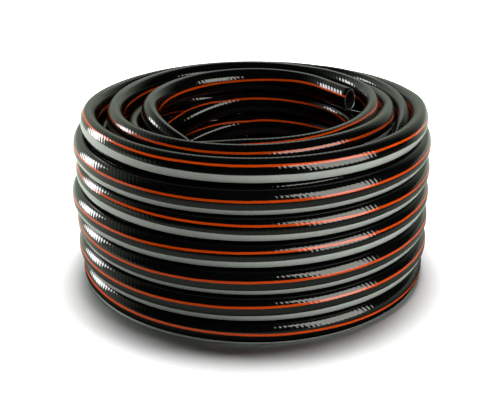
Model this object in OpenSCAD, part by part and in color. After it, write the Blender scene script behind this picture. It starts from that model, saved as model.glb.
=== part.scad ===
// Reinforced hose wound by hand into a loose coil that lies on the ground.
// Three stacks of turns stand side by side: an inner one that runs down, a middle
// one that climbs back up and an outer one that runs down again. Wide turns lie
// over them on top. The hose is bent so tightly that it is pressed oval.
// Millimetres, Z up, origin on the ground under the middle of the coil.

/* [Hose] */
// Bore of the hose
bore_d = 12.5; // [9:0.5:19]
// Wall of the smooth liner around the bore
liner_wall = 0.8; // [0.5:0.05:1.5]
// Thickness of the knitted yarn between liner and cover
yarn_wall = 0.4; // [0.2:0.05:1]
// Wall of the cover
cover_wall = 1.05; // [0.8:0.05:2]
// How much narrower the hose is in the coil, where bending presses it oval
pressed_in = 3.2; // [0.5:0.1:4]

/* [Coil] */
// Radius at the middle of the hose in the inner stack
inner_r = 86; // [80:1:140]
// Layers of hose under the top turns
layers = 6; // [5:1:6]
// Space between neighbouring stacks, added to the pressed width
ring_gap = 0.2; // [0.2:0.1:3]
// Space between layers, added to the pressed height
layer_gap = 1; // [1:0.1:3]
// Depth to which the lowest turns are flattened by the ground
foot_cut = 1.7; // [0.5:0.1:1.7]

/* [Ends] */
// Length of each straight, round hose end
end_len = 8; // [6:1:12]
// Angle round the hose that one orange line takes
orange_angle = 13; // [6:1:20]
// Angle round the hose that the grey stripe takes
grey_angle = 48; // [20:1:70]
// Depth of the coloured stripes in the cover
stripe_depth = 0.5; // [0.2:0.05:0.7]

/* [Hidden] */
$fn = 64;

RINGS_PER_LOOP = 24;
SIDES = 6;
ANGLE_STEP = 360 / RINGS_PER_LOOP;
ROUNDING_ANGLE = 30;    // turn over which a round end becomes oval
CROWDED_IN = 0.19;      // share of the width lost where top turns crowd each other

yarn_d = bore_d + 2 * liner_wall;
cover_d = yarn_d + 2 * yarn_wall;
hose_d = cover_d + 2 * cover_wall;
pressed_w = hose_d - pressed_in;
// A bent tube keeps its girth, so a pressed one is as much taller as it is narrower.
pressed_h = sqrt(2 * hose_d * hose_d - pressed_w * pressed_w);
ring_pitch = pressed_w + ring_gap;
layer_pitch = pressed_h + layer_gap;
ground_layer_z = pressed_h / 2 - foot_cut;
end_layer = (hose_d / 2 - ground_layer_z) / layer_pitch;

// Where each stretch of the winding starts, in degrees along the hose.
start_angle = 35;
inner_down_angle = 450;
crossing_angle = inner_down_angle + 360 * (layers - 1);
middle_up_angle = crossing_angle + 180;
top_turns_angle = middle_up_angle + 360 * (layers - 2) + 90;
outer_down_angle = top_turns_angle + 1440;
finish_angle = outer_down_angle + 360 * layers + 15;

// Places along the hose: [degrees along the hose, stack, layer]. Stacks count
// outwards from the inner one in ring_pitch, layers upwards in layer_pitch. Every turn
// lies level round the front and steps aside or down behind, from 0 to 180 degrees.
function way_free_end() = [
    [start_angle, -0.5, layers], [60, -0.33, layers], [90, -0.22, layers], [135, -0.3, layers],
    [180, -0.37, layers], [195, -0.45, layers - 0.07], [225, -0.54, layers - 0.4],
    [250, -0.5, layers - 0.95], [270, -0.46, layers - 1], [330, -0.27, layers - 1],
    [inner_down_angle, -0.1, layers - 1]
];
function way_inner_stack() = [
    for (k = [1 : layers - 1]) each [
        [inner_down_angle + 360 * k - 275, -0.05, layers - 1 - k],
        [inner_down_angle + 360 * k - (k < layers - 1 ? 10 : 60), 0, layers - 1 - k]
    ]
];
function way_crossing() = [
    [crossing_angle, 0.75, 0], [crossing_angle + 35, 1.2, 0], [crossing_angle + 75, 1.72, 0]
];
function way_middle_stack() = [
    for (k = [0 : layers - 3]) each [
        [middle_up_angle + 360 * k + 110, 1.72, k],
        [middle_up_angle + 360 * k + 250, 1.72, k + 1]
    ]
];
// The hose comes up inside, as the first wide turn over the inner stack.
function way_first_top_turn() = [
    for (p = [
        [0, 1.72, -2], [30, 1.5, -2], [60, 1.05, -1.73], [90, 0.88, -1.3], [120, 0.85, -1],
        [150, 0.7, -0.75], [180, 0.55, -0.62], [210, 0.54, -0.56], [240, 0.48, -0.28],
        [270, 0.36, -0.02], [330, 0.37, 0], [360, 0.63, 0], [370, 0.76, 0], [381, 0.85, 0],
        [405, 0.89, 0], [420, 1, 0], [450, 1.36, -0.02], [480, 1.5, -0.02]
    ]) [top_turns_angle + p[0], p[1], layers + p[2]]
];
// The second one lies outside it, and dives under it at the back.
function way_second_top_turn() = [
    for (p = [
        [540, 1.54, -0.02], [630, 1.47, 0.06], [660, 1.42, 0.08], [705, 1.39, 0],
        [720, 1.49, -0.1], [735, 1.57, -0.2], [752, 1.6, -0.32], [765, 1.61, -0.66],
        [780, 1.72, -1], [810, 1.93, -1.07], [840, 2.02, -1.05], [870, 2.2, -1]
    ]) [top_turns_angle + p[0], p[1], layers + p[2]]
];
// The third one is sunk between its neighbours and comes up at the right.
function way_third_top_turn() = [
    for (p = [
        [900, 2.26, -0.92], [990, 2.26, -0.94], [1040, 2.29, -0.86], [1054, 2.3, -0.61],
        [1065, 2.3, -0.33], [1080, 2.3, -0.18], [1095, 2.3, -0.15], [1110, 2.32, -0.15],
        [1125, 2.34, -0.17], [1146, 2.31, -0.18], [1170, 2.42, -0.21], [1200, 2.53, -0.2]
    ]) [top_turns_angle + p[0], p[1], layers + p[2]]
];
// The last one is the rim of the coil, and leads down into the outer stack.
function way_rim_turn() = [
    for (p = [
        [1230, 2.73, -0.17], [1260, 2.96, -0.07], [1275, 3.02, 0], [1290, 3.05, 0],
        [1350, 3.1, 0], [1425, 3.2, -0.05], [1440, 3.2, -0.07], [1460, 3.12, -0.2],
        [1485, 3.15, -0.32], [1506, 3.21, -0.42], [1530, 3.34, -0.61], [1560, 3.43, -0.8],
        [1590, 3.43, -0.91]
    ]) [top_turns_angle + p[0], p[1], layers + p[2]]
];
OUTER_STACK_COUNT = 3.43;
LOWEST_TURN_COUNT = 3.26;
// The outer stack is packed a little looser halfway up, and its turns, from the top
// down, stand out on the left by these counts.
LEFT_COUNTS = [0.06, 0, 0.3, 0.1, 0.1, 0];
function outer_layer(k) = k + 0.055 * sin(180 * k / layers);
function way_outer_stack() = [
    [outer_down_angle + 180, OUTER_STACK_COUNT + LEFT_COUNTS[0], outer_layer(layers - 1)],
    [outer_down_angle + 270, OUTER_STACK_COUNT, outer_layer(layers - 1)],
    for (k = [1 : layers - 1])
        let (upper = outer_layer(layers - k), lower = outer_layer(layers - 1 - k))
        let (last = k == layers - 1)
        each [
            for (s = [[0, 0], [30, 0.1], [60, 0.29], [90, 0.6], [120, 0.85], [150, 0.95], [180, 1]])
                let (left = LEFT_COUNTS[k] * max(0, s[0] - 90) / 90)
                [outer_down_angle + 360 * k + s[0],
                 (last && s[0] > 120 ? 3.36 : OUTER_STACK_COUNT) + left,
                 upper + (lower - upper) * s[1]],
            [outer_down_angle + 360 * k + 270, last ? LOWEST_TURN_COUNT : OUTER_STACK_COUNT, lower]
        ],
    [finish_angle, LOWEST_TURN_COUNT, end_layer]
];
WAY = concat(
    way_free_end(), way_inner_stack(), way_crossing(), way_middle_stack(),
    way_first_top_turn(), way_second_top_turn(), way_third_top_turn(), way_rim_turn(),
    way_outer_stack()
);

// Smooth curve through the places: slopes that never overshoot, column c of WAY.
function rise(i, c) = (WAY[i + 1][c] - WAY[i][c]) / (WAY[i + 1][0] - WAY[i][0]);
function slope(i, c) =
    i == 0 ? rise(0, c) :
    i == len(WAY) - 1 ? rise(i - 1, c) :
    let (before = rise(i - 1, c), after = rise(i, c))
    before * after <= 0 ? 0 : 2 * before * after / (before + after);
function along(i, c, a) =
    let (span = WAY[i + 1][0] - WAY[i][0], t = (a - WAY[i][0]) / span)
    WAY[i][c] * (1 + 2 * t) * (1 - t) * (1 - t)
    + WAY[i + 1][c] * t * t * (3 - 2 * t)
    + slope(i, c) * span * t * (1 - t) * (1 - t)
    - slope(i + 1, c) * span * t * t * (1 - t);

// A ring of the tube is [degrees, radius, height, width, tallness]. The first three
// top turns crowd each other on the right, from 0 to 45 degrees, and are narrower there.
function ease(t) = t <= 0 ? 0 : t >= 1 ? 1 : t * t * (3 - 2 * t);
function pressed_share(a) = ease(min(a - start_angle, finish_angle - a) / ROUNDING_ANGLE);
function crowded_share(a) =
    let (t = a - top_turns_angle, side = (t + 30) % 360 - 30)
    t < 330 || t > 1170 ? 0 : min(ease((side + 20) / 20), ease((66 - side) / 21));
function ring_at(i, a) =
    let (w = hose_d + (pressed_w - hose_d) * pressed_share(a))
    let (narrow = w * (1 - CROWDED_IN * crowded_share(a)))
    [a, inner_r + ring_pitch * along(i, 1, a), ground_layer_z + layer_pitch * along(i, 2, a),
     narrow, sqrt(2 * hose_d * hose_d - narrow * narrow)];
RINGS = concat(
    [ring_at(0, start_angle)],
    [
        for (i = [0 : len(WAY) - 2])
            for (a = [ceil(WAY[i][0] / ANGLE_STEP) * ANGLE_STEP
                      : ANGLE_STEP : WAY[i + 1][0] - 0.01])
                ring_at(i, a)
    ],
    [ring_at(len(WAY) - 2, finish_angle)]
);

// Points of one ring, moved on by run along the hose.
function ring_points(g, run = 0) = [
    for (k = [0 : SIDES - 1])
        let (t = 90 + 360 * k / SIDES, r = g[1] + g[3] / 2 * cos(t))
        [r * cos(g[0]) - run * sin(g[0]), r * sin(g[0]) + run * cos(g[0]),
         g[2] + g[4] / 2 * sin(t)]
];

// Least gap of the coil to itself, between the six-sided sections of turns that lie
// at the same angle: across the flat sides, or square to the sloping ones.
slant = [pressed_h / 4, pressed_w * cos(30) / 2] / norm([pressed_h / 4, pressed_w * cos(30) / 2]);
function reach(g) = max(slant[1] * g[4] / 2, slant[0] * g[3] * cos(30) / 2 + slant[1] * g[4] / 4);
function section_gap(g, h) = max(
    abs(g[1] - h[1]) - (g[3] + h[3]) * cos(30) / 2,
    slant * [abs(g[1] - h[1]), abs(g[2] - h[2])] - reach(g) - reach(h)
);
function least_turn_gap() = min([
    for (i = [1 : len(RINGS) - 2])
        for (j = [i + RINGS_PER_LOOP : RINGS_PER_LOOP : len(RINGS) - 2])
            section_gap(RINGS[i], RINGS[j])
]);
// Least gap from a straight, round end to the other turns, from points on its axis.
function plan(g, run = 0) = [
    g[1] * cos(g[0]) - run * sin(g[0]), g[1] * sin(g[0]) + run * cos(g[0])
];
function from_stretch(p, a, b) =
    let (t = (p - a) * (b - a) / ((b - a) * (b - a)), c = min(1, max(0, t)))
    norm(p - a - c * (b - a));
function from_section(p, g) =
    let (shoulder = [g[3] * cos(30) / 2, g[4] / 4])
    min(from_stretch(p, [0, g[4] / 2], shoulder), from_stretch(p, shoulder, [shoulder[0], 0]));
function end_gap(g, run, others) = min([
    for (s = [0 : 0.25 : 1], i = others)
        let (a = RINGS[i], b = RINGS[i + 1])
        let (flat = from_stretch(plan(g, run * s), plan(a), plan(b)))
        let (up = abs(g[2] - (a[2] + b[2]) / 2))
        from_section([flat, up], a) - hose_d / 2
]);
straight = hose_d + end_len;
echo(loops = (finish_angle - start_angle) / 360);
echo(least_gap_between_turns = least_turn_gap());
echo(least_gap_of_inner_end = end_gap(RINGS[0], -straight, [12 : len(RINGS) - 2]));
echo(least_gap_of_outer_end = end_gap(RINGS[len(RINGS) - 1], straight, [0 : len(RINGS) - 14]));

// The wound hose: one unbroken tube whose ends run straight for one diameter.
module hose_coil() {
    sections = concat(
        [ring_points(RINGS[0], -hose_d)],
        [for (g = RINGS) ring_points(g)],
        [ring_points(RINGS[len(RINGS) - 1], hose_d)]
    );
    points = [for (s = sections) each s];
    last = (len(sections) - 1) * SIDES;
    sides = [
        for (i = [0 : len(sections) - 2], k = [0 : SIDES - 1])
            let (a = i * SIDES + k, b = i * SIDES + (k + 1) % SIDES)
            each [[a, b, b + SIDES], [a, b + SIDES, a + SIDES]]
    ];
    caps = [
        for (k = [1 : SIDES - 2]) each [[0, k + 1, k], [last, last + k, last + k + 1]]
    ];
    size = 2 * (inner_r + (OUTER_STACK_COUNT + 2) * ring_pitch);
    color("#23262a")
        difference() {
            polyhedron(points, concat(sides, caps), convexity = 10);
            translate([-size / 2, -size / 2, -hose_d])
                cube([size, size, hose_d]);
        }
}

// Each end is drawn along Z from the coil to its mouth, with the outer side of the
// coil towards +X, then laid where the coil stops. dir is -1 at the inner end.
module at_end(g, dir) {
    translate([0, 0, g[2]])
        rotate(g[0])
            translate([g[1], dir * hose_d, 0])
                rotate([dir * -90, 0, 0])
                    children();
}
module inner_end() {
    at_end(RINGS[0], -1) children();
}
module outer_end() {
    at_end(RINGS[len(RINGS) - 1], 1) children();
}
module pipe(outer_d, inner_d) {
    rotate_extrude()
        translate([inner_d / 2, 0])
            square([(outer_d - inner_d) / 2, end_len]);
}
// Part of the cover between two angles round the hose, counted up from the side
// that faces out of the coil. over lets a cut run out past the cover's faces.
module stripe(middle, arc, up, over) {
    rotate(up * middle - arc / 2)
        rotate_extrude(angle = arc)
            translate([hose_d / 2 - stripe_depth, -over])
                square([stripe_depth + over, end_len + 2 * over]);
}
ORANGE_OUT_ANGLE = 18;        // orange line on the outer side, above the middle
ORANGE_IN_ANGLE = 156;        // orange line on the inner side
GREY_UNDER_ANGLE = -43;       // middle of the grey stripe under the outer line
module orange_lines(up, over = 0) {
    stripe(ORANGE_OUT_ANGLE, orange_angle, up, over);
    stripe(ORANGE_IN_ANGLE, orange_angle, up, over);
}
module grey_stripe(up, over = 0) {
    stripe(GREY_UNDER_ANGLE, grey_angle, up, over);
}
module cover(up) {
    difference() {
        pipe(hose_d, cover_d);
        orange_lines(up, over = 1);
        grey_stripe(up, over = 1);
    }
}

module inner_end_liner() {
    color("#17181a") inner_end() pipe(yarn_d, bore_d);
}
module inner_end_yarn() {
    color("#c9c6ba") inner_end() pipe(cover_d, yarn_d);
}
module inner_end_cover() {
    color("#23262a") inner_end() cover(1);
}
module inner_end_orange_lines() {
    color("#e65a14") inner_end() orange_lines(1);
}
module inner_end_grey_stripe() {
    color("#8a938b") inner_end() grey_stripe(1);
}
module outer_end_liner() {
    color("#17181a") outer_end() pipe(yarn_d, bore_d);
}
module outer_end_yarn() {
    color("#c9c6ba") outer_end() pipe(cover_d, yarn_d);
}
module outer_end_cover() {
    color("#23262a") outer_end() cover(-1);
}
module outer_end_orange_lines() {
    color("#e65a14") outer_end() orange_lines(-1);
}
module outer_end_grey_stripe() {
    color("#8a938b") outer_end() grey_stripe(-1);
}

hose_coil();
inner_end_liner();
inner_end_yarn();
inner_end_cover();
inner_end_orange_lines();
inner_end_grey_stripe();
outer_end_liner();
outer_end_yarn();
outer_end_cover();
outer_end_orange_lines();
outer_end_grey_stripe();
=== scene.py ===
"""Black garden hose with orange and grey stripes, wound by hand into a loose coil.

The hose follows the same winding as its CAD solid: places along the hose are given as
[degrees, stack, layer] and a smooth curve runs through them. Lengths are in metres.
"""
import math

import bpy
import numpy as np
from mathutils import Matrix, Vector


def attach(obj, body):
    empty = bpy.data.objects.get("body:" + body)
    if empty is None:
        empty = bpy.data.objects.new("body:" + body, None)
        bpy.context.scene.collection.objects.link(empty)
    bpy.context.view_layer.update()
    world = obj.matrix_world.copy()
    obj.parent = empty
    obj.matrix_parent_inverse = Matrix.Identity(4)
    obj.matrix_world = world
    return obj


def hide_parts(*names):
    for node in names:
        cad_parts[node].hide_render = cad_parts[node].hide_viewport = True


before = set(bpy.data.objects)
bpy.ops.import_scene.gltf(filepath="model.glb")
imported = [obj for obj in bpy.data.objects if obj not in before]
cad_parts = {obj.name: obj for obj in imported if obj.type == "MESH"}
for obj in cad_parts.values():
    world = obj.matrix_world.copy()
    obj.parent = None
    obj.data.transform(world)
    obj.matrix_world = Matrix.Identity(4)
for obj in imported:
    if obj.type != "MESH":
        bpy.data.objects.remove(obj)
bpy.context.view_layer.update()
MM = 0.001

# ---------------------------------------------------------------- sizes of the hose
HOSE_D = 17 * MM
LINER_WALL = 0.8 * MM
YARN_WALL = 0.4 * MM
COVER_WALL = 1.05 * MM
PRESSED_W = HOSE_D - 3.2 * MM    # bending presses the hose oval, with the same girth
PRESSED_H = math.sqrt(2 * HOSE_D**2 - PRESSED_W**2)
END_LEN = 8 * MM                 # part of an end that is modelled layer by layer
STRAIGHT = HOSE_D + END_LEN
RING_PITCH = PRESSED_W + 0.2 * MM
LAYER_PITCH = PRESSED_H + 1 * MM
INNER_R = 86 * MM
LAYERS = 6                       # under the top turns
FOOT_CUT = 1.7 * MM              # by which the ground flattens the lowest turns
GROUND_LAYER_Z = PRESSED_H / 2 - FOOT_CUT
END_LAYER = (HOSE_D / 2 - GROUND_LAYER_Z) / LAYER_PITCH

# ---------------------------------------------------------------- camera
TARGET = Vector((0, 0, 61.9 * MM))    # a little under half the coil's height
DISTANCE = 858 * MM
ELEVATION = math.radians(23.13)
ROLL = math.radians(-0.4)
SENSOR_WIDTH = 36    # Blender takes this and the lens in millimetres
FOCAL_LENGTH = 76.4
SHIFT_X, SHIFT_Y = -0.0111, -0.0333    # in widths of the picture
FARTHEST = 50


def make_camera():
    data = bpy.data.cameras.new("camera")
    data.sensor_width = SENSOR_WIDTH
    data.lens = FOCAL_LENGTH
    data.shift_x = SHIFT_X
    data.shift_y = SHIFT_Y
    data.clip_end = FARTHEST
    cam = bpy.data.objects.new("camera", data)
    bpy.context.scene.collection.objects.link(cam)
    away = Vector((0, -math.cos(ELEVATION), math.sin(ELEVATION)))
    look = (-away).to_track_quat("-Z", "Y").to_matrix().to_4x4()
    roll = Matrix.Rotation(ROLL, 4, "Z")
    cam.matrix_world = Matrix.Translation(TARGET + away * DISTANCE) @ look @ roll
    bpy.context.scene.camera = cam


# ---------------------------------------------------------------- the winding
# Where each stretch starts, in degrees along the hose. A whole number of turns is on the
# right, and the front lies 270 degrees further on.
START = 35
INNER_DOWN = 450
CROSSING = INNER_DOWN + 360 * (LAYERS - 1)
MIDDLE_UP = CROSSING + 180
TOP_TURNS = MIDDLE_UP + 360 * (LAYERS - 2) + 90
OUTER_DOWN = TOP_TURNS + 1440
FINISH = OUTER_DOWN + 360 * LAYERS + 15

# Stacks count outwards from the inner one in RING_PITCH, layers upwards in LAYER_PITCH.
INNER_STACK = 0
MIDDLE_STACK = 1.72
OUTER_STACK = 3.43
LOWEST_TURN = 3.26
LOWEST_TURN_BEHIND = 3.36

# Layers in the next two lists count from the layer of the top turns.
FREE_END = [
    (START, -0.5, 0), (60, -0.33, 0), (90, -0.22, 0), (135, -0.3, 0), (180, -0.37, 0),
    (195, -0.45, -0.07), (225, -0.54, -0.4), (250, -0.5, -0.95), (270, -0.46, -1),
    (330, -0.27, -1), (INNER_DOWN, -0.1, -1),
]
TOP = [
    (0, MIDDLE_STACK, -2), (30, 1.5, -2), (60, 1.05, -1.73), (90, 0.88, -1.3), (120, 0.85, -1),
    (150, 0.7, -0.75), (180, 0.55, -0.62), (210, 0.54, -0.56), (240, 0.48, -0.28),
    (270, 0.36, -0.02), (330, 0.37, 0), (360, 0.63, 0), (370, 0.76, 0), (381, 0.85, 0),
    (405, 0.89, 0), (420, 1, 0), (450, 1.36, -0.02), (480, 1.5, -0.02),
    (540, 1.54, -0.02), (630, 1.47, 0.06), (660, 1.42, 0.08), (705, 1.39, 0),
    (720, 1.49, -0.1), (735, 1.57, -0.2), (752, 1.6, -0.32), (765, 1.61, -0.66),
    (780, 1.72, -1), (810, 1.93, -1.07), (840, 2.02, -1.05), (870, 2.2, -1),
    (900, 2.26, -0.92), (990, 2.26, -0.94), (1040, 2.29, -0.86), (1054, 2.3, -0.61),
    (1065, 2.3, -0.33), (1080, 2.3, -0.18), (1095, 2.3, -0.15), (1110, 2.32, -0.15),
    (1125, 2.34, -0.17), (1146, 2.31, -0.18), (1170, 2.42, -0.21), (1200, 2.53, -0.2),
    (1230, 2.73, -0.17), (1260, 2.96, -0.07), (1275, 3.02, 0), (1290, 3.05, 0),
    (1350, 3.1, 0), (1425, 3.2, -0.05), (1440, 3.2, -0.07), (1460, 3.12, -0.2),
    (1485, 3.15, -0.32), (1506, 3.21, -0.42), (1530, 3.34, -0.61), (1560, 3.43, -0.8),
    (1590, 3.43, -0.91),
]
# Share of the way to the layer below that an outer turn has gone, by degrees, behind.
STEP_DOWN = [(0, 0), (30, 0.1), (60, 0.29), (90, 0.6), (120, 0.85), (150, 0.95), (180, 1)]
LEFT = [0.06, 0, 0.3, 0.1, 0.1, 0]    # how far the outer turns stand out on the left
LOOSE_HALFWAY = 0.055    # the outer stack is packed a little looser halfway up


def outer_layer(k):
    return k + LOOSE_HALFWAY * math.sin(math.pi * k / LAYERS)


def winding():
    """Places along the hose, from the free inner end to the outer end on the ground."""
    way = [(a, ring, LAYERS + layer) for a, ring, layer in FREE_END]
    for k in range(1, LAYERS):
        way.append((INNER_DOWN + 360 * k - 275, -0.05, LAYERS - 1 - k))
        level = 10 if k < LAYERS - 1 else 60
        way.append((INNER_DOWN + 360 * k - level, INNER_STACK, LAYERS - 1 - k))
    way += [(CROSSING, 0.75, 0), (CROSSING + 35, 1.2, 0), (CROSSING + 75, MIDDLE_STACK, 0)]
    for k in range(LAYERS - 2):
        way.append((MIDDLE_UP + 360 * k + 110, MIDDLE_STACK, k))
        way.append((MIDDLE_UP + 360 * k + 250, MIDDLE_STACK, k + 1))
    way += [(TOP_TURNS + a, ring, LAYERS + layer) for a, ring, layer in TOP]
    way.append((OUTER_DOWN + 180, OUTER_STACK + LEFT[0], outer_layer(LAYERS - 1)))
    way.append((OUTER_DOWN + 270, OUTER_STACK, outer_layer(LAYERS - 1)))
    for k in range(1, LAYERS):
        upper, lower = outer_layer(LAYERS - k), outer_layer(LAYERS - 1 - k)
        last = k == LAYERS - 1
        for a, share in STEP_DOWN:
            ring = LOWEST_TURN_BEHIND if last and a > 120 else OUTER_STACK
            ring += LEFT[k] * max(0, a - 90) / 90
            way.append((OUTER_DOWN + 360 * k + a, ring, upper + (lower - upper) * share))
        way.append((OUTER_DOWN + 360 * k + 270, LOWEST_TURN if last else OUTER_STACK, lower))
    way.append((FINISH, LOWEST_TURN, END_LAYER))
    return np.array(way, dtype=float)


def smooth_through(x, places, column):
    """Cubic curve through the places, with slopes that never overshoot."""
    at, value = places[:, 0], places[:, column]
    rise = np.diff(value) / np.diff(at)
    before, after = rise[:-1], rise[1:]
    same = before * after > 0
    total = np.where(same, before + after, 1)
    inner = np.where(same, 2 * before * after / total, 0)
    slope = np.concatenate([[rise[0]], inner, [rise[-1]]])
    i = np.clip(np.searchsorted(at, x, side="right") - 1, 0, len(at) - 2)
    span = at[i + 1] - at[i]
    t = (x - at[i]) / span
    return (
        value[i] * (1 + 2 * t) * (1 - t) ** 2
        + value[i + 1] * t**2 * (3 - 2 * t)
        + slope[i] * span * t * (1 - t) ** 2
        - slope[i + 1] * span * t**2 * (1 - t)
    )


RINGS_PER_LOOP = 144
END_RINGS = 6        # rings along the straight run of each end
ROUNDING = 30        # degrees over which the outer end goes from oval to round
INNER_ROUNDING = 25  # degrees over which the inner end goes from its own oval to the rest's
CROWDED_IN = 0.19    # share of the width lost where top turns crowd each other
CROWDED_FROM, CROWDED_TO = 330, 1170    # stretch of the top turns that is crowded


def ease(t):
    """Smooth step from 0 to 1."""
    t = np.clip(t, 0, 1)
    return t * t * (3 - 2 * t)


def crowded(a):
    """1 where the top turns crowd each other, from 0 to 45 degrees, fading out around it."""
    t = a - TOP_TURNS
    side = (t + 30) % 360 - 30
    share = np.minimum(ease((side + 20) / 20), ease((66 - side) / 21))
    return np.where((t < CROWDED_FROM) | (t > CROWDED_TO), 0, share)


def centreline():
    """Rings of the tube: degrees, radius, height, and how far the ring runs straight on."""
    places = winding()
    count = int((FINISH - START) / 360 * RINGS_PER_LOOP)
    a = np.linspace(START, FINISH, count + 1)
    r = INNER_R + RING_PITCH * smooth_through(a, places, 1)
    z = GROUND_LAYER_Z + LAYER_PITCH * smooth_through(a, places, 2)
    run = np.zeros_like(a)
    ends = np.linspace(STRAIGHT, 0, END_RINGS, endpoint=False)
    lead = [np.full(len(ends), v[0]) for v in (a, r, z)]
    tail = [np.full(len(ends), v[-1]) for v in (a, r, z)]
    a, r, z = (np.concatenate([l, v, t]) for l, v, t in zip(lead, (a, r, z), tail))
    run = np.concatenate([-ends, run, ends[::-1]])
    return a, r, z, run


def ring_centres(a, r, z, run):
    """Middle of each ring, which lies run metres straight on from its place on the turn."""
    t = np.radians(a)
    x = r * np.cos(t) - run * np.sin(t)
    y = r * np.sin(t) + run * np.cos(t)
    return np.stack([x, y, z], axis=1)


# Where the outer orange line lies: degrees along the hose, and degrees round it above the
# side that faces out. The hose twists a little from turn to turn. Each row is one stretch.
OUTER_LINE = {
    0: [(0, 18), (90, 10), (180, -25), (400, 0), (2250, 15)],
    TOP_TURNS: [
        (0, 20), (180, 30), (270, 50), (291, 56), (318, 64), (336, 59), (352, 48), (366, 40),
        (450, 42), (540, 43), (582, 40), (611, 34), (674, 30), (706, 25), (720, 12),
        (900, -30), (1020, -25), (1045, 15), (1062, 40), (1074, 22), (1110, 20), (1230, 40),
        (1276, 56), (1296, 50), (1318, 40), (1355, 38), (1391, 32), (1420, 25), (1434, 8),
    ],
    OUTER_DOWN: [
        (180, 24), (230, 19), (262, 14), (324, 13), (540, 37), (590, 36), (628, 27),
        (662, 20), (685, 16), (900, 19), (959, 22), (988, 27), (1012, 30), (1046, 25),
        (1290, 15), (1318, 12), (1355, 15), (1408, 18), (1650, 16), (1702, 20),
        (1738, 26), (1769, 22), (2005, 20), (2054, 13), (2104, 0), (2132, -4),
    ],
}
# The second line lies on the side that faces in, about 137 degrees further round.
INNER_LINE = {
    0: [(0, 156), (44, 157), (57, 158), (78, 168), (100, 174), (126, 177), (150, 181),
        (168, 184), (240, 175), (400, 150), (454, 151), (467, 146), (480, 120),
        (492, 100), (520, 95), (600, 120), (700, 140), (814, 149), (828, 130), (838, 116),
        (850, 98), (900, 98), (1000, 140)],
    TOP_TURNS: [(0, 157), (60, 205), (200, 215), (300, 195), (450, 179), (540, 179), (600, 174),
                (720, 155), (1080, 175), (1300, 187), (1420, 160)],
    OUTER_DOWN: [(180, 161), (540, 174), (900, 157), (1290, 152), (1702, 157), (2054, 150)],
}


def line_angle(a, table):
    """Degrees round the hose at which a line lies, at each of the degrees a along it."""
    places = [(start + at, angle) for start, row in table.items() for at, angle in row]
    return np.interp(a, *zip(*places))


SIDES = 32        # of the tube
PAINTED_SHEEN_RISE = 10    # painted sheen: degrees by which the grey stripe is drawn higher on the left and right, where grazing light makes the hose pale


def tube_mesh(name, a, r, z, run, wide, tall):
    """Tube of oval rings, flattened where it lies on the floor. Each UV map holds metres
    along the hose, and turns round it counted from one of its lines or from the stripe."""
    centres = ring_centres(a, r, z, run)
    along = np.concatenate([[0], np.cumsum(np.linalg.norm(np.diff(centres, axis=0), axis=1))])
    outer_line, inner_line = (line_angle(a, table) / 360 for table in (OUTER_LINE, INNER_LINE))
    t = np.linspace(0, 2 * np.pi, SIDES, endpoint=False)
    out = np.stack([np.cos(np.radians(a)), np.sin(np.radians(a)), np.zeros_like(a)], axis=1)
    side = np.cos(t)[None, :, None] * (wide / 2)[:, None, None] * out[:, None, :]
    up = np.zeros((len(a), SIDES, 3))
    up[:, :, 2] = np.sin(t)[None, :] * (tall / 2)[:, None]
    points = (centres[:, None, :] + side + up).reshape(-1, 3)
    points[:, 2] = np.maximum(points[:, 2], 0)
    mesh = bpy.data.meshes.new(name)
    rings = len(a)
    i, k = np.meshgrid(np.arange(rings - 1), np.arange(SIDES), indexing="ij")
    i, k = i.ravel(), k.ravel()
    ring_of = np.stack([i + 1, i + 1, i, i], axis=1)
    corner_of = np.stack([k, k + 1, k + 1, k], axis=1)
    quads = ring_of * SIDES + corner_of % SIDES
    turn_of = corner_of / SIDES
    mesh.from_pydata(points.tolist(), [], quads.tolist())
    # Painted sheen: the grey stripe is drawn higher on the left and right, over the band that
    # grazing light makes pale there.
    grey_line_with_sheen = outer_line + PAINTED_SHEEN_RISE / 360 * (1 + np.cos(np.radians(2 * a))) / 2
    lines = (("hose", outer_line), ("inner_line", inner_line), ("grey_stripe", grey_line_with_sheen))
    for label, line in lines:
        values = np.stack([along[ring_of], turn_of - line[ring_of]], axis=2).reshape(-1)
        mesh.uv_layers.new(name=label).data.foreach_set("uv", values.astype(np.float32))
    mesh.polygons.foreach_set("use_smooth", np.ones(len(quads), dtype=bool))
    mesh.update()
    return mesh


def add_object(name, mesh, material):
    obj = bpy.data.objects.new(name, mesh)
    bpy.context.scene.collection.objects.link(obj)
    mesh.materials.append(material)
    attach(obj, "root")
    return obj


# ---------------------------------------------------------------- materials
ORANGE = (0.5, 0.049, 0.002, 1)
GREY = (0.37, 0.4, 0.36, 1)
BLACK = (0.0014, 0.0018, 0.0015, 1)
LINER = (0.003, 0.0035, 0.0032, 1)
YARN = (0.33, 0.32, 0.29, 1)


def grey_of(level):
    return (level, level, level, 1)


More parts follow.
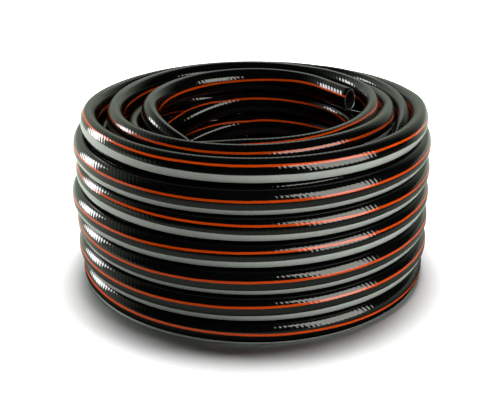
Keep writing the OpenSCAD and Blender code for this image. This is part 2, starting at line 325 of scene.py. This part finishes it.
class Nodes:
    """Short names for building the node tree of a material or a world."""

    def __init__(self, owner, shader="Principled BSDF"):
        owner.use_nodes = True
        self.owner = owner
        self.tree = owner.node_tree
        self.shader = self.tree.nodes[shader]

    def node(self, kind, **inputs):
        n = self.tree.nodes.new(kind)
        for key, value in inputs.items():
            self.put(value, n.inputs[key.replace("_", " ")])
        return n

    def put(self, value, socket):
        if isinstance(value, bpy.types.NodeSocket):
            self.tree.links.new(value, socket)
        else:
            socket.default_value = value

    def math(self, operation, a, b=0.0, c=0.0, clamp=False):
        n = self.tree.nodes.new("ShaderNodeMath")
        n.operation = operation
        n.use_clamp = clamp
        for i, v in enumerate((a, b, c)):
            self.put(v, n.inputs[i])
        return n.outputs[0]

    def mix(self, factor, a, b):
        n = self.tree.nodes.new("ShaderNodeMix")
        n.data_type = "RGBA"
        self.put(factor, n.inputs[0])
        self.put(a, n.inputs[6])
        self.put(b, n.inputs[7])
        return n.outputs[2]

    def noise(self, scale, detail=2, vector=None):
        n = self.node("ShaderNodeTexNoise", Scale=scale, Detail=detail)
        if vector is not None:
            self.put(vector, n.inputs["Vector"])
        return n.outputs["Fac"]

    def coords(self, kind="Object"):
        return self.node("ShaderNodeTexCoord").outputs[kind]

    def split(self, vector):
        n = self.tree.nodes.new("ShaderNodeSeparateXYZ")
        self.put(vector, n.inputs[0])
        return n.outputs

    def ramp(self, value, start, slope):
        """0 up to start, then rising with the slope until it reaches 1."""
        return self.math("MULTIPLY", self.math("SUBTRACT", value, start), slope, clamp=True)

    def fall(self, value, end, slope):
        """0 from end on, and rising with the slope below it until it reaches 1."""
        return self.math("MULTIPLY", self.math("SUBTRACT", end, value), slope, clamp=True)

    def bump(self, height, distance):
        n = self.node("ShaderNodeBump", Height=height, Distance=distance, Strength=1)
        self.put(n.outputs["Normal"], self.shader.inputs["Normal"])


# Widths and places of the stripes are in turns round the hose.
LINE_SHARE = 0.033    # width of an orange line
LINE_EDGE = 0.004     # softness of its edges
GREY_FROM = 0.108     # grey stripe, below the outer orange line
GREY_TO = 0.22
GREY_EDGE = 0.006
WAVER = 0.010         # how far the stripes waver in all
WAVER_SCALE = 28
RIB_PITCH = 3.8 * MM
RIB_SLANT = 0.58      # length that a rib runs along the hose, per length round it
RIB_SHAPE = 0.6       # under 1, ribs are broad and the grooves between them narrow
RIB_HEIGHT = 0.065 * MM
GRAIN_SCALE = 900
GRAIN_HEIGHT = 0.06    # share of the rib's height
SMOOTHEST = 0.055      # roughness where the grain is lowest
GRAIN_ROUGHNESS = 0.06
BLACK_DARKEST = 0.6    # share of the colour that is left where the grain is darkest
GREY_DARKEST = (0.85, 0.86, 0.85)
MOTTLE_SCALE = 120


def hose_material():
    """Glossy black with two orange lines, a grey stripe and slanted ribs of yarn."""
    m = Nodes(bpy.data.materials.new("hose_cover"))
    wave = m.math("SUBTRACT", m.noise(WAVER_SCALE, 2, m.coords()), 0.5)
    waver = m.math("MULTIPLY", wave, WAVER)

    def places(label):
        uv = m.node("ShaderNodeUVMap")
        uv.uv_map = label
        along, turn, _ = m.split(uv.outputs["UV"])
        return along, m.math("ADD", turn, waver)

    along, turn = places("hose")
    inner_turn = places("inner_line")[1]
    grey_turn_with_sheen = places("grey_stripe")[1]

    def band(turn, middle, half, soft):
        """1 inside a stripe round the hose, at any whole number of turns away."""
        off = m.math("SUBTRACT", turn, middle)
        off = m.math("SUBTRACT", off, m.math("ROUND", off))
        inside = m.math("SUBTRACT", half, m.math("ABSOLUTE", off))
        return m.math("DIVIDE", inside, soft, clamp=True)

    outer, inner = (band(at, 0, LINE_SHARE / 2, LINE_EDGE) for at in (turn, inner_turn))
    lines = m.math("MAXIMUM", outer, inner)
    grey_middle, grey_half = -(GREY_FROM + GREY_TO) / 2, (GREY_TO - GREY_FROM) / 2
    # The grey stripe's mask also carries the painted sheen, where the stripe is drawn higher on
    # the left and right.
    grey = band(grey_turn_with_sheen, grey_middle, grey_half, GREY_EDGE)
    fine = m.noise(GRAIN_SCALE, 3, m.coords())
    shade = m.math("MULTIPLY_ADD", fine, 0.5, 0.75)
    darkest = tuple(c * BLACK_DARKEST for c in BLACK[:3]) + (1,)
    black = m.mix(shade, darkest, BLACK)
    dull = tuple(c * share for c, share in zip(GREY, GREY_DARKEST)) + (1,)
    mottled = m.mix(m.noise(MOTTLE_SCALE, 3, m.coords()), dull, GREY)
    colour = m.mix(grey, black, mottled)
    colour = m.mix(lines, colour, ORANGE)
    m.put(colour, m.shader.inputs["Base Color"])

    girth = math.pi * HOSE_D
    phase = m.math("DIVIDE", m.math("MULTIPLY_ADD", turn, girth * RIB_SLANT, along), RIB_PITCH)
    wave = m.math("SINE", m.math("MULTIPLY", phase, 2 * math.pi))
    rib = m.math("POWER", m.math("MULTIPLY_ADD", wave, 0.5, 0.5), RIB_SHAPE)
    height = m.math("ADD", rib, m.math("MULTIPLY", fine, GRAIN_HEIGHT))
    m.bump(height, RIB_HEIGHT)
    roughness = m.math("MULTIPLY_ADD", fine, GRAIN_ROUGHNESS, SMOOTHEST)
    m.put(roughness, m.shader.inputs["Roughness"])
    return m.owner


def plain_material(name, colour, roughness, grain, depth, scale=1500):
    """One colour, which the grain darkens by up to that share and roughens by the depth."""
    m = Nodes(bpy.data.materials.new(name))
    fine = m.noise(scale, 3, m.coords())
    dark = tuple(c * (1 - grain) for c in colour[:3]) + (1,)
    m.put(m.mix(fine, dark, colour), m.shader.inputs["Base Color"])
    m.put(m.math("MULTIPLY_ADD", fine, 0.15, roughness), m.shader.inputs["Roughness"])
    m.bump(fine, depth)
    return m.owner


# ---------------------------------------------------------------- the hose
END_W, END_H = 12.4 * MM, 19.4 * MM    # the inner end is pressed a little flatter
DEEP = 20 * MM                         # how far the bore is drawn inside the ends
BEVEL = 0.25 * MM
FACE_BACK = 0.02 * MM                  # yarn and liner end just inside the cover's face
# Extra rings this close to a face's outer and inner rim keep its shading flat.
RIM_OUT, RIM_IN = 0.02 * MM, 0.1 * MM


def end_profile(depths, insets, inner_end):
    """Rings of an end piece, from how far inside the mouth and inside the cover they lie."""
    depths, insets = np.array(depths), np.array(insets)
    g = 0 if inner_end else -1
    a, r, z, run = (np.full(len(depths), v[g]) for v in centreline())
    run = run + depths * (1 if inner_end else -1)
    wide, tall = (END_W, END_H) if inner_end else (HOSE_D, HOSE_D)
    return a, r, z, run, wide - 2 * insets, tall - 2 * insets


def make_hose(cover):
    """The whole hose as one tube, whose ends turn in at the cut faces. It stands for the
    coil and for the covers, orange lines and grey stripes of both ends."""
    a, r, z, run = centreline()
    pressed = ease((FINISH - a) / ROUNDING)
    wide = HOSE_D + (PRESSED_W - HOSE_D) * pressed
    wide = wide * (1 - CROWDED_IN * crowded(a))
    tall = np.sqrt(2 * HOSE_D**2 - wide**2)
    cut = 1 - ease((a - START) / INNER_ROUNDING)
    wide, tall = wide + (END_W - wide) * cut, tall + (END_H - tall) * cut
    wall = COVER_WALL
    inner = end_profile([END_LEN, 0, 0, 0, BEVEL], [wall, wall, BEVEL, BEVEL, 0], True)
    outer = end_profile([BEVEL, 0, 0, 0, END_LEN], [0, BEVEL, BEVEL, wall, wall], False)
    body = (a[1:-1], r[1:-1], z[1:-1], run[1:-1], wide[1:-1], tall[1:-1])
    rings = [np.concatenate(parts) for parts in zip(inner, body, outer)]
    hose = add_object("hose", tube_mesh("hose", *rings), cover)
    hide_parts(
        "hose_coil",
        "inner_end_cover", "inner_end_orange_lines", "inner_end_grey_stripe",
        "outer_end_cover", "outer_end_orange_lines", "outer_end_grey_stripe",
    )
    return hose


def make_end(name, inner_end, liner_material, yarn_material):
    """The layers under the cover, seen in the cut face: knitted yarn, then the liner."""
    yarn_from, liner_from = COVER_WALL, COVER_WALL + YARN_WALL
    layers = (
        ("yarn", yarn_material, yarn_from, liner_from, END_LEN),
        ("liner", liner_material, liner_from, liner_from + LINER_WALL, DEEP),
    )
    pieces = []
    for part, material, outside, inside, deep in layers:
        depths = [END_LEN, FACE_BACK, FACE_BACK, FACE_BACK, FACE_BACK, deep]
        insets = [outside, outside, outside + RIM_OUT, inside - RIM_IN, inside, inside]
        rings = end_profile(depths, insets, inner_end)
        if not inner_end:
            rings = [v[::-1] for v in rings]
        mesh = tube_mesh(f"{name}_{part}", *rings)
        if inner_end:
            mesh.flip_normals()
        piece = add_object(f"{name}_{part}_cut", mesh, material)
        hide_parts(f"{name}_{part}")
        pieces.append(piece)
    return pieces


# ---------------------------------------------------------------- floor, walls and lamps
FLOOR_SIZE = 6
FLOOR_SEEN = 0.8        # floor's grey for the camera, which shows the shadow on it
FLOOR_LIT = 0.15        # for light that bounces on to the hose
FLOOR_MIRRORED = 0.02   # for the hose's gloss, which sees the glow below as well
FLOOR_TINT = (0.9, 1, 0.82, 1)
WHITE_FROM = 0.26       # from here out the floor glows white for the camera, in metres
WALL_TINT = (0.7, 0.78, 0.64, 1)
WALL_LIT = 0.01


def make_stage():
    """White paper. Its shadow stays; further out it is as white as the backdrop. The hose
    mirrors it bright behind and on the left, and dark in front."""
    s = FLOOR_SIZE
    mesh = bpy.data.meshes.new("floor")
    mesh.from_pydata([(-s, -s, 0), (s, -s, 0), (s, s, 0), (-s, s, 0)], [], [(0, 1, 2, 3)])
    floor = bpy.data.objects.new("floor", mesh)
    bpy.context.scene.collection.objects.link(floor)
    m = Nodes(bpy.data.materials.new("floor"))
    path = m.node("ShaderNodeLightPath")
    camera, glossy = path.outputs["Is Camera Ray"], path.outputs["Is Glossy Ray"]
    x, y, _ = m.split(m.coords())
    square = m.math("ADD", m.math("MULTIPLY", x, x), m.math("MULTIPLY", y, y))
    from_middle = m.math("SQRT", square)
    far = m.ramp(from_middle, WHITE_FROM, 8)
    # What the gloss mirrors: bright at the back left, dimmer in a ring close to the coil,
    # and nothing under the coil itself.
    outside = m.ramp(from_middle, 0.14, 20)
    near = m.fall(from_middle, 0.55, 5)
    back = m.math("SUBTRACT", m.math("MULTIPLY", y, 0.9), m.math("MULTIPLY", x, 0.4))
    back = m.ramp(back, -0.15, 2.5)
    mirrored = m.math("MAXIMUM", back, m.math("MULTIPLY", near, 0.38))
    mirrored = m.math("MULTIPLY", mirrored, outside)
    plain = m.mix(camera, grey_of(FLOOR_LIT), grey_of(FLOOR_SEEN))
    m.put(m.mix(glossy, plain, grey_of(FLOOR_MIRRORED)), m.shader.inputs["Base Color"])
    m.put(m.mix(glossy, grey_of(1), FLOOR_TINT), m.shader.inputs["Emission Color"])
    glow = m.math("ADD", m.math("MULTIPLY", camera, far), m.math("MULTIPLY", glossy, mirrored))
    m.put(glow, m.shader.inputs["Emission Strength"])
    m.put(0, m.shader.inputs["Specular IOR Level"])
    m.put(0.9, m.shader.inputs["Roughness"])
    mesh.materials.append(m.owner)
    return floor


def make_world():
    """White for the camera. The hose mirrors a white wall behind and on the left, which is
    dimmer low in the middle, and black elsewhere."""
    world = bpy.data.worlds.new("studio")
    bpy.context.scene.world = world
    w = Nodes(world, "Background")
    w.put(1, w.shader.inputs["Strength"])
    # Parts of the direction that is looked in, from -1 to 1.
    right, back, up = w.split(w.coords("Generated"))
    turned = w.math("ADD", w.math("MULTIPLY", right, -0.35), w.math("SUBTRACT", back, 0.12))
    behind = w.math("MULTIPLY", turned, 1.6, clamp=True)
    wall = w.math("MULTIPLY", behind, w.fall(up, 0.85, 2.5))
    low_middle = w.math("MULTIPLY", w.ramp(back, 0.8, 5), w.fall(up, 0.25, 5))
    dimmed = w.math("SUBTRACT", 1, w.math("MULTIPLY", low_middle, 0.7))
    wall = w.math("MULTIPLY", wall, dimmed)
    path = w.node("ShaderNodeLightPath")
    around = w.mix(wall, grey_of(0), WALL_TINT)
    soft = w.mix(path.outputs["Is Diffuse Ray"], around, grey_of(WALL_LIT))
    seen = w.mix(path.outputs["Is Camera Ray"], soft, grey_of(1))
    w.put(seen, w.shader.inputs["Color"])


def softbox(
    name, place, size, radiance, mirrored=False, only=None, colour=(1, 1, 1), down=False
):
    """Rectangular lamp that faces the coil's axis, or the ground under the coil if down.
    The hose's gloss mirrors a mirrored one, and the others only light. With only given, it
    lights just that collection."""
    width, height = size
    data = bpy.data.lights.new(name, "AREA")
    data.shape = "RECTANGLE"
    data.size, data.size_y = width, height
    data.energy = radiance * math.pi * width * height
    data.color = colour
    lamp = bpy.data.objects.new(name, data)
    bpy.context.scene.collection.objects.link(lamp)
    place = Vector(place)
    facing = Vector((0, 0, 0 if down else place.z)) - place
    turned = facing.to_track_quat("-Z", "Y").to_matrix().to_4x4()
    lamp.matrix_world = Matrix.Translation(place) @ turned
    lamp.visible_camera = False
    lamp.visible_glossy = mirrored
    lamp.visible_diffuse = not mirrored
    lamp.light_linking.receiver_collection = only


def collection_of(name, objects):
    """A collection outside the scene, which only says what a lamp lights."""
    group = bpy.data.collections.new(name)
    for obj in objects:
        group.objects.link(obj)
    return group


WARM = (1, 1, 0.9)


def make_lamps(hose_only, floor_only):
    """Each lamp's place and size in metres, and its radiance, where 1 is white."""
    for name, place, size in (
        ("front_right_mirrored", (0.645, -0.49, 0.27), (0.53, 0.53)),
        ("front_right_corner_high", (0.355, -0.73, 0.45), (0.24, 0.2)),
        ("front_right_corner", (0.42, -0.69, 0.27), (0.10, 0.2)),
    ):
        softbox(name, place, size, 6, mirrored=True, colour=WARM)
    softbox("back_left_mirrored", (-0.97, 0.42, 0.30), (0.27, 0.54), 13, mirrored=True)
    softbox("back_high_mirrored", (0.10, 0.95, 0.85), (0.5, 0.35), 1, mirrored=True)
    softbox("left", (-1.2, 0.42, 0.15), (0.8, 0.4), 30, only=hose_only)
    softbox("right", (1.1, -0.5, 0.15), (0.8, 0.4), 13, only=hose_only)
    softbox("front", (0.1, -1.4, 0.2), (1.0, 0.4), 2, only=hose_only)
    softbox("front_high", (0.35, -0.75, 1.1), (0.5, 0.5), 12, only=hose_only, down=True)
    softbox("above", (0, 0.26, 1.3), (0.6, 0.6), 6, down=True)
    softbox("above_floor", (0.02, 0.17, 1.3), (0.66, 0.42), 40, only=floor_only, down=True)


make_camera()
floor = make_stage()
make_world()
hose = make_hose(hose_material())
liner = plain_material("liner", LINER, roughness=0.4, grain=0.3, depth=0.02 * MM)
yarn = plain_material("yarn", YARN, roughness=0.8, grain=0.4, depth=0.15 * MM, scale=2600)
cut_faces = make_end("inner_end", True, liner, yarn) + make_end("outer_end", False, liner, yarn)
make_lamps(collection_of("hose_only", [hose] + cut_faces), collection_of("floor_only", [floor]))

bpy.context.scene.view_settings.view_transform = "Standard"
